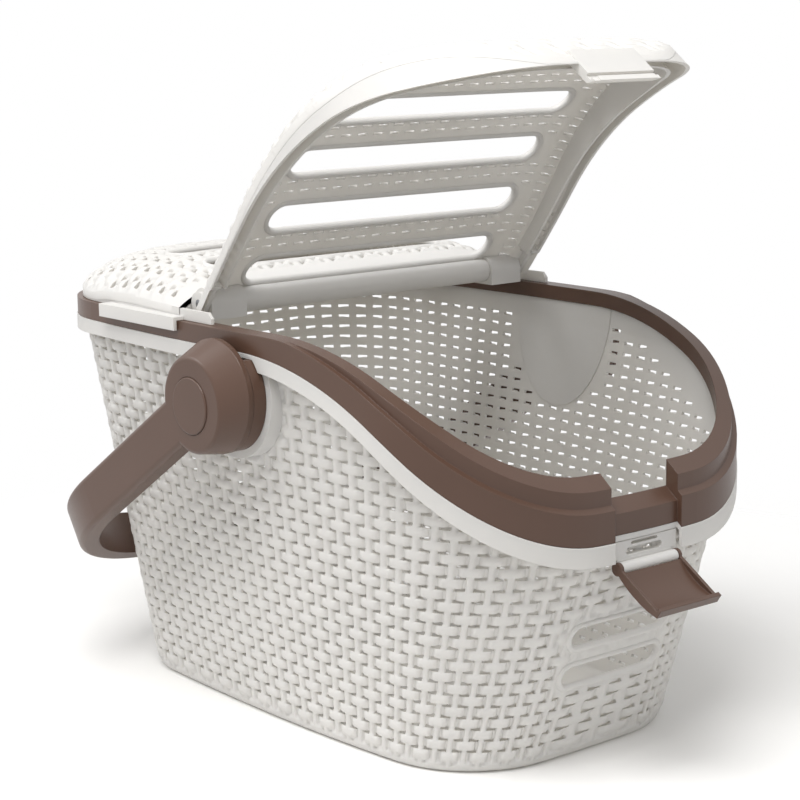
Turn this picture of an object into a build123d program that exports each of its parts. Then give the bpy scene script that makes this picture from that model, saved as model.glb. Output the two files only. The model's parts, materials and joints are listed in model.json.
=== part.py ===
from build123d import *
from math import cos, radians, sin, sqrt, tan
import os

# Carrying basket for a small pet, in millimetres. The origin is under the middle of the
# basket, on the floor. +X is the front, where the lid opens, and +Z is up.
# The lid stands open, the latch hangs open and the handle is folded back.

# Rim of the basket, seen from above
rim_half_length = 255.0
rim_half_width = 168.0
rim_front_corner = 116.0
rim_front_side = 1243.0
rim_front_end = 1607.0
rim_rear_corner = 92.0
rim_rear_side = 2253.0
rim_rear_end = 2257.0

# Rim seen from the side: level at the back, bent down to a slope at the front
rim_height = 278.0
rim_front_height = 163.1
rim_slope = 38.77
rim_bend = 240.0

# Foot and wall of the basket
foot_front = 199.0
foot_rear = 193.3
foot_half_width = 124.0
foot_front_corner = 77.0
foot_rear_corner = 59.0
wall_front_at_rim = 287.0
wall_rear_at_rim = 248.0
wall_half_width_at_rim = 160.0
wall_front_corner = 131.0
wall_rear_corner = 82.0
side_curve = 1380.0
end_curve = 1730.0
rear_curve = 2360.0
basket_wall = 2.5
floor_thickness = 3.0
foot_rounding = 7.0
wall_inset = 10.0
flange_thickness = 3.0
flange_depth = 10.5
flange_wall = 2.5

# Front vents
vent_height = 66.5
vent_spacing = 29.5
vent_half_length = 45.5
vent_opening = 14.5
vent_frame = 4.0
vent_frame_relief = 1.2
vent_reach = 45.0

# Brown ring on the rim
ring_inset = 0.6
ring_wall = 2.5
band_height = 17.0
lip_height = 25.5
ring_top = 291.5
lip_outer_inset = 4.5
lip_width = 10.7
lip_skirt = 11.0
seat_gap = 0.2
notch_half_width = 31.5
notch_depth = 4.0
notch_height = 11.5

# Lid
lid_front = 250.0
lid_half_width = 158.0
lid_front_corner = 111.0
lid_side_curve = 1163.0
lid_end_curve = 1741.0
lid_wall = 2.5
lid_roof = 3.0
lid_edge_height = 6.0
lid_rise = 14.3
lid_swell = 0.0089
lid_shoulder = 11
lid_squareness = 4.9
lid_opening = 53.0
lid_gap = 0.3
lid_channel = 11.5
lid_skirt_end = -15.0
hinge_x = -38.6
hinge_z = 302.8
hinge_bar_radius = 9.0
hinge_bar_wall = 2.5
hinge_bar_half_length = 118.0
cheek_radius = 11.0
cheek_thickness = 30.5
hinge_side_gap = 0.5
ear_thickness = 3.5
ear_radius = 8.5
lid_pin_radius = 3.0
lid_pin_length = 45.0

# Long windows of the lid and of the cover
window_pitch = 48.5
first_window = 31.0
window_width = 22.0
window_half_length = 116.0
window_frame = 2.5
window_frame_relief = 1.0

# Fixed cover over the rear half
cover_inset = 5.0
cover_front = -48.5
cover_wall = 2.5
cover_roof = 3.0
cover_edge_height = 8.0
cover_front_rise = 15.5
cover_rear_rise = 28.5
cover_crest = -150.0
cover_shoulder = 8
cover_squareness = 4.4
cover_window_half_length = 108.0
wing_gap = 1.5
cover_window = -88.0
wing_front = -10.0
wing_height = 8.0
flap_rear = -142.0
flap_front = -44.0
flap_depth = 9.5

# Handle and its pivots
pivot_x = 5.0
pivot_z = 240.5
handle_fold = 33.5
handle_reach = 285.5
handle_half_width = 192.0
handle_thickness = 15.0
handle_band = 35.0
handle_corner = 122.0
handle_edge = 4.0
hub_radius = 40.0
hub_shift = 11.5
hub_face_radius = 33.5
hub_slope_depth = 14.0
hub_wall = 3.0
hub_rounding = 3.0
pad_face = 163.0
pad_radius = 45.0
housing_radius = 39.5
housing_thickness = 10.3
housing_wall = 2.5
part_gap = 0.2
hub_gap = 0.5
bearing_radius = 11.0
bearing_fit = 0.1
bearing_wall = 3.0
bearing_length = 9.5
bearing_gap = 0.2
hub_floor = 2.0
button_radius = 20.0
button_fit = 0.3
button_thickness = 3.0
button_wall = 2.0
button_skirt = 3.0
button_proud = 1.0
button_travel = 3.0
spring_radius = 16.0
spring_wire = 1.0
spring_turns = 2.5
bolt_radius = 2.5
bolt_head_radius = 6.0
bolt_head_height = 2.0
bolt_length = 18.0
washer_radius = 13.0
washer_thickness = 1.0
screw_circle = 26.0
screw_count = 3
screw_radius = 1.6
screw_head_radius = 3.4
screw_head_height = 2.2
screw_length = 11.5
screw_head_gap = 0.3
housing_gap = 0.8

# Latch
latch_x = 253.0
latch_z = 145.5
latch_fall = 32.8
lever_half_width = 29.0
lever_length = 42.5
lever_start = 5.2
lever_thickness = 3.0
lever_bow = 3.0
lever_lip = 4.8
lever_rib = 2.5
lever_rib_height = 2.2
lever_eye = 4.5
latch_pin_radius = 2.0
latch_pin_half_length = 28.5
pin_fit = 0.05
bracket_half_width = 31.0
bracket_gap = 0.5
bracket_thickness = 4.8
bracket_top = 162.7
bracket_web = 5.3
bracket_bar_radius = 4.2
bracket_bar_half_length = 26.0
bracket_slots = ((155.0, 17.0, 4.6), (160.2, 12.5, 2.2))
catch_plate = 6.0
catch_plate_height = 28.0
catch_plate_half_width = 30.5
catch_proud = 1.2
catch_depth = 3.3
catch_top = 186.2
catch_groove = 4.3
catch_half_width = 26.0

slope = radians(rim_slope)
fold = radians(handle_fold)
hub_x = pivot_x + hub_shift * cos(fold)
hub_z = pivot_z + hub_shift * sin(fold)
reach = 320.0
hinge_axis = Axis((hinge_x, 0, hinge_z), (0, 1, 0))


def corner_points(length, width, corner, side, end, inset):
    """Points of one quarter of an outline of three tangent arcs: side, corner and end."""
    side_centre = Vector(0, width - side)
    end_centre = Vector(length - end, 0)
    between = end_centre - side_centre
    to_side = side - corner
    to_end = end - corner
    along = (to_side**2 - to_end**2 + between.length**2) / (2 * between.length)
    across = sqrt(to_side**2 - along**2)
    unit = between.normalized()
    normal = Vector(-unit.Y, unit.X)
    if normal.X + normal.Y < 0:
        normal = normal * -1
    centre = side_centre + unit * along + normal * across
    side_normal = (centre - side_centre).normalized()
    end_normal = (centre - end_centre).normalized()
    middle_normal = (side_normal + end_normal).normalized()
    half_side = (side_normal + Vector(0, 1)).normalized()
    radius = corner - inset
    return (
        Vector(0, width - inset),
        side_centre + half_side * (side - inset),
        centre + side_normal * radius,
        centre + middle_normal * radius,
        centre + end_normal * radius,
        Vector(length - inset, 0),
    )


def outline(front, rear, inset=0.0):
    """Face seen from above, with its own front and rear halves."""
    with BuildSketch() as shape:
        with BuildLine():
            for half, sign in ((front, 1), (rear, -1)):
                top, side_middle, side_end, corner_middle, end_start, tip = corner_points(*half, inset)
                for mirror_y in (1, -1):
                    flip = [(sign * p.X, mirror_y * p.Y) for p in
                            (top, side_middle, side_end, corner_middle, end_start)]
                    ThreePointArc(flip[0], flip[1], flip[2])
                    ThreePointArc(flip[2], flip[3], flip[4])
                x, y = sign * end_start.X, end_start.Y
                ThreePointArc((x, y), (sign * tip.X, 0), (x, -y))
        make_face()
    return shape.sketch


rim_front = (rim_half_length, rim_half_width, rim_front_corner, rim_front_side, rim_front_end)
rim_rear = (rim_half_length, rim_half_width, rim_rear_corner, rim_rear_side, rim_rear_end)


def rim_outline(inset):
    return outline(rim_front, rim_rear, inset)


def line_height(x, top, front, bend):
    """Height of a side line: level, then a tangent arc, then the slope of the rim."""
    corner_x = rim_half_length - (top - front) / tan(slope)
    start = corner_x - bend * tan(slope / 2)
    end = start + bend * sin(slope)
    if x < start:
        return top
    if x < end:
        return top - bend + sqrt(bend**2 - (x - start)**2)
    return front + (rim_half_length - x) * tan(slope)


def under(top, front, bend):
    """Everything below a side line."""
    corner_x = rim_half_length - (top - front) / tan(slope)
    start = corner_x - bend * tan(slope / 2)
    middle = (start + bend * sin(slope / 2), top - bend + bend * cos(slope / 2))
    end = (start + bend * sin(slope), top - bend + bend * cos(slope))
    far = (reach, front + (rim_half_length - reach) * tan(slope))
    with BuildPart() as body:
        with BuildSketch(Plane.XZ):
            with BuildLine():
                Polyline((start, top), (-reach, top), (-reach, -reach / 4), (reach, -reach / 4), far, end)
                ThreePointArc(end, middle, (start, top))
            make_face()
        extrude(amount=reach, both=True)
    return body.part


def rim_line(offset):
    """Side line at a distance square to the rim."""
    return (rim_height + offset, rim_front_height + offset / cos(slope), rim_bend + offset)


def lip_line(offset):
    """Side line at a distance square to the top of the ring's lip."""
    return (ring_top + offset, rim_front_height + (lip_height + offset) / cos(slope), rim_bend + offset)


def under_all(lines):
    """Everything below each of several side lines."""
    with BuildPart() as body:
        add(under(*lines[0]))
        for line in lines[1:]:
            add(under(*line), mode=Mode.INTERSECT)
    return body.part


def upright(face, height=reach):
    """Straight body from the floor up to a height, over a face seen from above."""
    with BuildPart() as body:
        with BuildSketch():
            add(face)
        extrude(amount=height)
    return body.part


def rim_wall(outer, inner, bottoms, tops):
    """Wall that follows the rim, between two insets, above all bottoms and under all tops."""
    with BuildPart() as body:
        add(upright(rim_outline(outer)))
        add(upright(rim_outline(inner)), mode=Mode.SUBTRACT)
        add(under_all(tops), mode=Mode.INTERSECT)
        add(under_all(bottoms), mode=Mode.SUBTRACT)
    return body.part


def slab(x0, x1, y0, y1, z0, z1):
    """Straight block between six faces."""
    with BuildPart() as body:
        with BuildSketch(Plane.XY.offset(z0)):
            with Locations(((x0 + x1) / 2, (y0 + y1) / 2)):
                Rectangle(x1 - x0, y1 - y0)
        extrude(amount=z1 - z0)
    return body.part


def disc(x, z, radius, y0, y1):
    """Cylinder along Y between two sides."""
    with BuildPart() as body:
        with BuildSketch(Plane((x, y0, z), x_dir=(1, 0, 0), z_dir=(0, 1, 0))):
            Circle(radius)
        extrude(amount=y1 - y0)
    return body.part


def slot_across(x, half_length, width, z0, z1):
    """Upright body of a slot across the object."""
    with BuildPart() as body:
        with BuildSketch(Plane.XY.offset(z0)):
            with Locations((x, 0)):
                SlotOverall(2 * half_length, width, rotation=90)
        extrude(amount=z1 - z0)
    return body.part


def both_sides(part):
    """A part and its mirror image on the other side."""
    with BuildPart() as pair:
        add(part)
        mirror(about=Plane.XZ)
    return pair.part


def surface(height, x0, x1, half_width, step=5.0):
    """Smooth face through the heights given by a formula."""
    columns = round((x1 - x0) / step)
    rows = round(2 * half_width / step)
    points = [
        [Vector(x, y, height(x, y)) for y in
         [half_width * (2 * row / rows - 1) for row in range(rows + 1)]]
        for x in [x0 + (x1 - x0) * column / columns for column in range(columns + 1)]
    ]
    return Face.make_surface_from_array_of_points(points)


def beyond(face, direction):
    """Everything above or below a face."""
    with BuildPart() as body:
        extrude(to_extrude=face, amount=2 * reach, dir=(0, 0, direction))
    return body.part


# Basket
foot_half_front = (foot_front, foot_half_width, foot_front_corner, side_curve, end_curve)
foot_half_rear = (foot_rear, foot_half_width, foot_rear_corner, rear_curve, rear_curve)
wall_half_front = (wall_front_at_rim, wall_half_width_at_rim, wall_front_corner, side_curve, end_curve)
wall_half_rear = (wall_rear_at_rim, wall_half_width_at_rim, wall_rear_corner, rear_curve, rear_curve)
loft_height = rim_height + 2.0
lip_inner_inset = lip_outer_inset + lip_width
tongue_top = lip_line(-ring_wall - seat_gap)
notch_floor_under = rim_line(notch_height - ring_wall)
notch_inset = ring_inset + notch_depth
cover_base = ring_top + lid_gap


def tapered_body(inset, rounding, floor=0.0):
    """Inside or outside of the basket: straight walls from the foot to the rim's height."""
    with BuildPart() as body:
        with BuildSketch(Plane.XY.offset(floor)):
            add(outline(foot_half_front, foot_half_rear, inset))
        with BuildSketch(Plane.XY.offset(loft_height)):
            add(outline(wall_half_front, wall_half_rear, inset))
        loft(ruled=True)
        fillet(body.edges().group_by(Axis.Z)[0], rounding)
        with BuildSketch(Plane.XY.offset(loft_height)):
            add(outline(wall_half_front, wall_half_rear, inset))
        extrude(amount=ring_top - loft_height)
    return body.part


def vent_slot(z, grow):
    """Body of a front vent, long enough to pass the front wall."""
    height = vent_opening + 2 * grow
    with BuildPart() as body:
        with BuildSketch(Plane.YZ.offset(foot_front)):
            with Locations((0, z)):
                SlotOverall(2 * (vent_half_length + grow), height)
        extrude(amount=vent_reach, both=True)
    return body.part


def vent_slots(grow):
    """Bodies of both front vents."""
    with BuildPart() as body:
        for z in (vent_height, vent_height + vent_spacing):
            add(vent_slot(z, grow))
    return body.part


def vent_frames():
    """Raised frames around the front vents."""
    with BuildPart() as body:
        add(tapered_body(-vent_frame_relief, foot_rounding))
        add(vent_slots(vent_frame), mode=Mode.INTERSECT)
    return body.part


def cavity():
    """Space inside the basket."""
    with BuildPart() as body:
        add(tapered_body(basket_wall, foot_rounding - basket_wall, floor_thickness))
        add(upright(rim_outline(wall_inset + basket_wall)), mode=Mode.INTERSECT)
    return body.part


def hub_discs(radius, y0, y1):
    """Discs around the middle of the hubs, one on each side."""
    return both_sides(disc(hub_x, hub_z, radius, y0, y1))


def screw_bodies(radius, y0, y1):
    """Cylinders at the places of the housing's screws, on one side."""
    with BuildPart() as body:
        with BuildSketch(Plane((hub_x, y0, hub_z), x_dir=(1, 0, 0), z_dir=(0, 1, 0))):
            with PolarLocations(screw_circle, screw_count, start_angle=90):
                Circle(radius)
        extrude(amount=y1 - y0)
    return body.part


def front_block(half_width, inset=None, floor=None):
    """Space at the middle of the front, outside an inset of the rim or above a side line."""
    with BuildPart() as body:
        add(slab(foot_front - wall_inset, reach, -half_width, half_width, 0, reach + ring_top))
        if inset is not None:
            add(upright(rim_outline(inset), reach + ring_top), mode=Mode.SUBTRACT)
        if floor is not None:
            add(under(*floor), mode=Mode.SUBTRACT)
    return body.part


def pads():
    """Flat seats of the handle's housings on the side walls, under the flange."""
    with BuildPart() as body:
        add(hub_discs(pad_radius, foot_half_width, pad_face))
        add(under(*rim_line(-flange_thickness)), mode=Mode.INTERSECT)
    return body.part


def housing_space():
    """Room for the housings outside their seats, under the flange."""
    with BuildPart() as body:
        add(hub_discs(housing_radius + housing_gap, pad_face, reach))
        add(under(*rim_line(-flange_thickness)), mode=Mode.INTERSECT)
    return body.part


housing_back = pad_face + part_gap
housing_front = housing_back + housing_thickness
hub_back = housing_front + hub_gap
hub_shoulder = handle_half_width - hub_slope_depth
floor_face = hub_back + bearing_length
boss_end = floor_face + bearing_gap
washer_face = boss_end + washer_thickness
bolt_face = washer_face + bolt_head_height
bolt_tip = washer_face - bolt_length + bolt_head_height
screw_face = housing_front - part_gap
screw_shoulder = screw_face - screw_head_height
screw_tip = screw_shoulder - screw_length + screw_head_height
screw_hole = screw_radius + pin_fit

with BuildPart() as basket:
    add(tapered_body(0.0, foot_rounding))
    add(vent_frames())
    add(upright(rim_outline(wall_inset)), mode=Mode.INTERSECT)
    add(under(*tongue_top), mode=Mode.INTERSECT)
    add(rim_wall(0, wall_inset + basket_wall, [rim_line(-flange_thickness)], [rim_line(0)]))
    add(rim_wall(0, flange_wall, [rim_line(-flange_depth)], [rim_line(0)]))
    add(pads())
    add(cavity(), mode=Mode.SUBTRACT)
    add(vent_slots(0), mode=Mode.SUBTRACT)
    tongue_cut = rim_line(notch_height - ring_wall - seat_gap)
    add(front_block(notch_half_width + ring_wall + seat_gap, floor=tongue_cut), mode=Mode.SUBTRACT)
    add(front_block(notch_half_width, inset=notch_inset), mode=Mode.SUBTRACT)
    add(housing_space(), mode=Mode.SUBTRACT)
    add(both_sides(screw_bodies(screw_hole, screw_tip - seat_gap, reach)), mode=Mode.SUBTRACT)
basket.part.label = "basket"

# Brown ring on the rim
band_top = [rim_line(band_height), lip_line(0)]
deck_under = [rim_line(band_height - ring_wall), lip_line(-ring_wall)]
deck_inset = lip_outer_inset + ring_wall


def notch_walls():
    """Set-back wall, floor and side walls of the notch for the latch."""
    with BuildPart() as body:
        add(rim_wall(notch_inset, notch_inset + ring_wall, [rim_line(seat_gap)], [rim_line(notch_height)]))
        add(rim_wall(notch_inset, lip_inner_inset, [notch_floor_under], [rim_line(notch_height)]))
        add(front_block(notch_half_width + ring_wall), mode=Mode.INTERSECT)
    return body.part


def notch_cheeks():
    """Side walls of the notch."""
    with BuildPart() as body:
        add(rim_wall(ring_inset, lip_inner_inset, [notch_floor_under], band_top))
        add(rim_wall(ring_inset, deck_inset, [rim_line(seat_gap)], band_top))
        add(rim_wall(lip_outer_inset, lip_inner_inset, [notch_floor_under], [lip_line(0)]))
        add(front_block(notch_half_width + ring_wall), mode=Mode.INTERSECT)
        add(front_block(notch_half_width), mode=Mode.SUBTRACT)
    return body.part


with BuildPart() as rim_ring:
    add(rim_wall(ring_inset, ring_inset + ring_wall, [rim_line(seat_gap)], band_top))
    add(rim_wall(ring_inset, deck_inset, deck_under, band_top))
    add(rim_wall(lip_outer_inset, deck_inset, deck_under, [lip_line(0)]))
    add(rim_wall(lip_outer_inset, lip_inner_inset, [lip_line(-ring_wall)], [lip_line(0)]))
    add(rim_wall(lip_inner_inset - ring_wall, lip_inner_inset, [lip_line(-lip_skirt)], [lip_line(0)]))
    add(front_block(notch_half_width, inset=notch_inset), mode=Mode.SUBTRACT)
    add(front_block(notch_half_width, floor=rim_line(notch_height)), mode=Mode.SUBTRACT)
    add(notch_walls())
    add(notch_cheeks())
rim_ring.part.label = "rim_ring"

# Lid, made closed and then opened about its hinge
lid_half = (lid_front, lid_half_width, lid_front_corner, lid_side_curve, lid_end_curve)
lid_seat = lip_line(lid_gap)
lid_flat_end = 10.0


def lid_height(x, y, inset, drop):
    """Height of the lid's roof: level at the back, swelling and rounded down to its edge."""
    run = max(x - lid_flat_end, 0)
    rise = lid_rise + lid_swell * run**1.5
    power = lid_squareness
    place = (max(x, 0) / (lid_front - inset))**power + (abs(y) / (lid_half_width - inset))**power
    edge = line_height(x, *lid_seat) + lid_edge_height
    return edge + rise * (1 - place**(lid_shoulder / power)) - drop


def lid_surface(inset, drop):
    return surface(
        lambda x, y: lid_height(x, y, inset, drop), hinge_x - hinge_bar_radius, lid_front + 2,
        lid_half_width + 2)


def lid_outline(inset):
    return outline(lid_half, lid_half, inset)


def lid_wall_between(outer, inner=None):
    """Upright walls of the lid above its lower edge."""
    with BuildPart() as body:
        add(upright(lid_outline(outer), reach + ring_top))
        if inner is not None:
            add(upright(lid_outline(inner), reach + ring_top), mode=Mode.SUBTRACT)
        add(under(*lid_seat), mode=Mode.SUBTRACT)
    return body.part


def hinge_disc(radius, y0, y1):
    return disc(hinge_x, hinge_z, radius, y0, y1)


cheek_start = hinge_bar_half_length + hinge_side_gap
cheek_end = cheek_start + cheek_thickness
ear_start = cheek_end + hinge_side_gap
ear_end = ear_start + ear_thickness
pin_start = ear_end - lid_pin_length
cheek_space = cheek_radius + hinge_side_gap
channel_inner = lid_channel + lid_wall
lid_windows = [first_window + window_pitch * place for place in (-1, 0, 1, 2)]


def window_bodies(places, half_length, grow):
    """Upright bodies of long windows."""
    with BuildPart() as body:
        for x in places:
            add(slot_across(x, half_length + grow, window_width + 2 * grow, rim_front_height, 2 * reach))
    return body.part


def lid_window_frames():
    """Rolled frames around the lid's windows."""
    with BuildPart() as body:
        add(window_bodies(lid_windows, window_half_length, window_frame))
        add(beyond(lid_surface(0, -window_frame_relief), 1), mode=Mode.SUBTRACT)
        add(beyond(lid_surface(0, lid_roof + window_frame_relief), -1), mode=Mode.SUBTRACT)
    return body.part


def lid_body(inset, drop):
    """Everything inside the lid's outline, above its edge and under its roof."""
    with BuildPart() as body:
        add(lid_wall_between(inset))
        add(beyond(lid_surface(inset, drop), 1), mode=Mode.SUBTRACT)
    return body.part


def lid_flange():
    """Inner flange, which makes a channel for the ring's lip."""
    with BuildPart() as body:
        add(lid_wall_between(lid_channel, channel_inner))
        add(slab(lid_skirt_end, reach, -reach, reach, 0, 2 * reach), mode=Mode.INTERSECT)
        add(beyond(lid_surface(0, lid_roof / 2), 1), mode=Mode.SUBTRACT)
    return body.part


def lid_ends():
    """Walls that close the channel at the back, with the hinge ears."""
    ear_height = ear_radius - lid_gap
    block = slab(lid_skirt_end, lid_skirt_end + lid_wall, -reach, reach, 0, reach + ring_top)
    middle = slab(-reach, reach, -cheek_end, cheek_end, 0, reach + ring_top)
    ear = slab(hinge_x, lid_skirt_end + lid_wall, ear_start, ear_end, hinge_z - ear_height, hinge_z)
    with BuildPart() as body:
        add(lid_body(0, lid_roof / 2))
        add(block, mode=Mode.INTERSECT)
        add(middle, mode=Mode.SUBTRACT)
        add(both_sides(hinge_disc(ear_radius, ear_start, ear_end)))
        add(both_sides(ear))
    return body.part


def hinge_bar():
    """Rolled tube along the hinge, with solid ends for the pins."""
    with BuildPart() as body:
        add(hinge_disc(hinge_bar_radius, -hinge_bar_half_length, hinge_bar_half_length))
        add(hinge_disc(hinge_bar_radius - hinge_bar_wall, -pin_start, pin_start), mode=Mode.SUBTRACT)
    return body.part


def catch():
    """Plate at the lid's front that comes down into the notch, with a ledge for the latch."""
    ledge_front = lid_front + catch_proud
    groove_back = ledge_front - catch_depth
    base = rim_front_height
    with BuildPart() as body:
        add(slab(lid_front - catch_plate, lid_front, -catch_plate_half_width, catch_plate_half_width,
                 base, catch_top + catch_plate_height))
        add(slab(lid_front, ledge_front, -catch_half_width, catch_half_width, base, catch_top))
        add(slab(groove_back, reach, -reach, reach, catch_top, catch_top + catch_groove),
            mode=Mode.SUBTRACT)
        add(under(*rim_line(notch_height + hub_gap)), mode=Mode.SUBTRACT)
    return body.part


with BuildPart() as closed_lid:
    add(lid_body(0, 0))
    add(lid_body(lid_wall, lid_roof), mode=Mode.SUBTRACT)
    add(lid_flange())
    add(lid_window_frames())
    add(slab(-reach, hinge_x, -reach, reach, 0, 2 * reach), mode=Mode.SUBTRACT)
    add(both_sides(slab(hinge_x - lid_wall, lid_skirt_end, cheek_end, reach, 0, 2 * reach)),
        mode=Mode.SUBTRACT)
    add(window_bodies(lid_windows, window_half_length, 0), mode=Mode.SUBTRACT)
    add(catch())
    add(hinge_bar())
    add(both_sides(hinge_disc(cheek_space, hinge_bar_half_length, ear_start)), mode=Mode.SUBTRACT)
    add(lid_ends())
    add(both_sides(hinge_disc(lid_pin_radius + pin_fit, pin_start, ear_end)), mode=Mode.SUBTRACT)

with BuildPart() as front_lid:
    add(closed_lid.part.rotate(hinge_axis, -lid_opening))
front_lid.part.label = "front_lid"

# Fixed cover over the rear half
cover_front_inside = cover_front - cover_wall
cover_height_span = cover_front - cover_crest


def cover_height(x, y, inset, drop):
    """Height of the cover's roof: highest behind the middle, rounded down to its wall."""
    fall = (max(x - cover_crest, 0) / cover_height_span)**2
    rise = cover_rear_rise - (cover_rear_rise - cover_front_rise) * fall
    length = rim_half_length - cover_inset - inset
    width = rim_half_width - cover_inset - inset
    place = (max(-x, 0) / length)**cover_squareness + (abs(y) / width)**cover_squareness
    edge = cover_base + cover_edge_height
    return edge + rise * (1 - place**(cover_shoulder / cover_squareness)) - drop


def cover_surface(inset, drop):
    return surface(
        lambda x, y: cover_height(x, y, inset, drop), cover_inset - rim_half_length - 2, cover_front + 2,
        rim_half_width - cover_inset + 2)


def cover_body(inset, drop, front):
    """Everything inside the cover's outline, behind its front and under its roof."""
    with BuildPart() as body:
        add(upright(rim_outline(cover_inset + inset), 2 * ring_top))
        add(slab(-reach, front, -reach, reach, cover_base, 2 * ring_top), mode=Mode.INTERSECT)
        add(beyond(cover_surface(inset, drop), 1), mode=Mode.SUBTRACT)
    return body.part


cover_windows = [cover_window, cover_window - window_pitch]


def cover_window_frames():
    """Rolled frames around the cover's windows."""
    with BuildPart() as body:
        add(window_bodies(cover_windows, cover_window_half_length, window_frame))
        add(beyond(cover_surface(0, -window_frame_relief), 1), mode=Mode.SUBTRACT)
        add(beyond(cover_surface(0, cover_roof + window_frame_relief), -1), mode=Mode.SUBTRACT)
    return body.part


def cover_cheek():
    """Hinge cheek that holds a lid pin, with its foot on the cover's front wall."""
    with BuildPart() as body:
        add(hinge_disc(cheek_radius, cheek_start, cheek_end))
        add(slab(cover_front_inside, hinge_x, cheek_start, cheek_end, cover_base,
                 hinge_z + cheek_radius / 2))
        add(slab(hinge_x, hinge_x + cheek_radius, cheek_start, cheek_end, cover_base, hinge_z))
        add(hinge_disc(lid_pin_radius + 2 * pin_fit, cheek_start, cheek_end), mode=Mode.SUBTRACT)
    return body.part


def cover_wing():
    """Side wing that runs forward beside the lid, and the flap over the ring's edge."""
    wing_start = lid_half_width + wing_gap
    wing_end = wing_start + cover_wall
    flap_start = rim_half_width - ring_inset + housing_gap
    flap_end = flap_start + cover_wall
    top = cover_base + wing_height
    with BuildPart() as body:
        with BuildSketch(Plane.XZ.offset(-wing_end)):
            with BuildLine():
                Polyline((cover_front_inside, cover_base), (wing_front, cover_base),
                         (wing_front, cover_base + wing_height / 2),
                         (wing_front - wing_height / 2, top), (cover_front_inside, top), close=True)
            make_face()
        extrude(amount=cover_wall)
        add(slab(flap_rear, flap_front, wing_start, flap_end, cover_base, cover_base + cover_wall))
        add(slab(flap_rear, flap_front, flap_start, flap_end, cover_base + cover_wall - flap_depth,
                 cover_base + cover_wall))
    return body.part


with BuildPart() as rear_cover:
    add(cover_body(0, 0, cover_front))
    add(cover_window_frames())
    add(cover_body(cover_wall, cover_roof, cover_front_inside), mode=Mode.SUBTRACT)
    add(window_bodies(cover_windows, cover_window_half_length, 0), mode=Mode.SUBTRACT)
    add(both_sides(cover_cheek()))
    add(both_sides(cover_wing()))
rear_cover.part.label = "rear_cover"

# Handle: a band bent to a loop, with a round hub at each end
handle_plane = Plane(
    origin=(pivot_x, 0, pivot_z), x_dir=(-cos(fold), 0, -sin(fold)), z_dir=(sin(fold), 0, -cos(fold)))


def loop_face(reach_out, half_width, corner):
    """Long face with two rounded corners at its far end."""
    with BuildSketch() as face:
        with Locations((reach_out / 2, 0)):
            Rectangle(reach_out, 2 * half_width)
        fillet(face.vertices().group_by(Axis.X)[-1], corner)
    return face.sketch


def pivot_disc(radius, y0, y1):
    return disc(pivot_x, pivot_z, radius, y0, y1)


def hub_disc(radius, y0, y1):
    return disc(hub_x, hub_z, radius, y0, y1)


def hub():
    """Round hub whose sides lean in to a smaller round face at the pivot."""
    with BuildPart() as body:
        with BuildSketch(Plane((hub_x, hub_shoulder, hub_z), x_dir=(1, 0, 0), z_dir=(0, 1, 0))):
            Circle(hub_radius)
        with BuildSketch(Plane((pivot_x, handle_half_width, pivot_z), x_dir=(1, 0, 0), z_dir=(0, 1, 0))):
            Circle(hub_face_radius)
        loft()
        fillet(body.edges().group_by(Axis.Y)[-1], hub_rounding)
        add(hub_disc(hub_radius, hub_back, hub_shoulder))
    return body.part


def hub_inside():
    """Space inside a hub, around its bearing, floor and button guide."""
    guide_radius = button_radius + button_fit
    face_inside = handle_half_width - hub_wall
    with BuildPart() as body:
        add(hub_disc(hub_radius - hub_wall, hub_back, hub_shoulder))
        add(pivot_disc(hub_face_radius - hub_wall, hub_back, face_inside))
        add(pivot_disc(bearing_radius + bearing_wall, hub_back, floor_face), mode=Mode.SUBTRACT)
        add(hub_disc(2 * hub_radius, floor_face - hub_floor, floor_face), mode=Mode.SUBTRACT)
        add(pivot_disc(guide_radius + hub_floor, floor_face, face_inside), mode=Mode.SUBTRACT)
        add(pivot_disc(guide_radius, floor_face, handle_half_width))
        add(pivot_disc(bearing_radius + bearing_fit, hub_back, floor_face))
    return body.part


with BuildPart() as handle:
    with BuildSketch(handle_plane):
        add(loop_face(handle_reach, handle_half_width, handle_corner))
        add(loop_face(handle_reach - handle_thickness, handle_half_width - handle_thickness,
                      handle_corner - handle_thickness), mode=Mode.SUBTRACT)
    extrude(amount=handle_band / 2, both=True)
    fillet(handle.edges().filter_by(GeomType.CIRCLE).group_by(SortBy.RADIUS)[-1], handle_edge)
    add(both_sides(hub()))
    add(both_sides(hub_inside()), mode=Mode.SUBTRACT)
handle.part.label = "handle"


def housing():
    """Disc behind a hub, with the boss that the hub turns on."""
    plate_back = housing_front - housing_wall
    head_space = screw_head_radius + screw_head_gap
    with BuildPart() as body:
        add(hub_disc(housing_radius, housing_back, housing_front))
        add(hub_disc(housing_radius - housing_wall, housing_back, plate_back), mode=Mode.SUBTRACT)
        add(screw_bodies(screw_head_radius + housing_wall, housing_back, plate_back))
        add(pivot_disc(bearing_radius, housing_back, boss_end))
        add(screw_bodies(screw_hole, housing_back, housing_front), mode=Mode.SUBTRACT)
        add(screw_bodies(head_space, screw_shoulder, housing_front), mode=Mode.SUBTRACT)
        add(pivot_disc(bolt_radius + pin_fit, bolt_tip, boss_end), mode=Mode.SUBTRACT)
        add(under(*rim_line(-flange_thickness - part_gap)), mode=Mode.INTERSECT)
    return body.part


def button():
    """Round button: a cup with its face outwards."""
    face = handle_half_width + button_proud
    with BuildPart() as body:
        add(pivot_disc(button_radius, face - button_thickness - button_skirt, face))
        add(pivot_disc(button_radius - button_wall, pad_face, face - button_thickness), mode=Mode.SUBTRACT)
        fillet(body.faces().sort_by(Axis.Y)[-1].edges(), button_proud)
    return body.part


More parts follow.
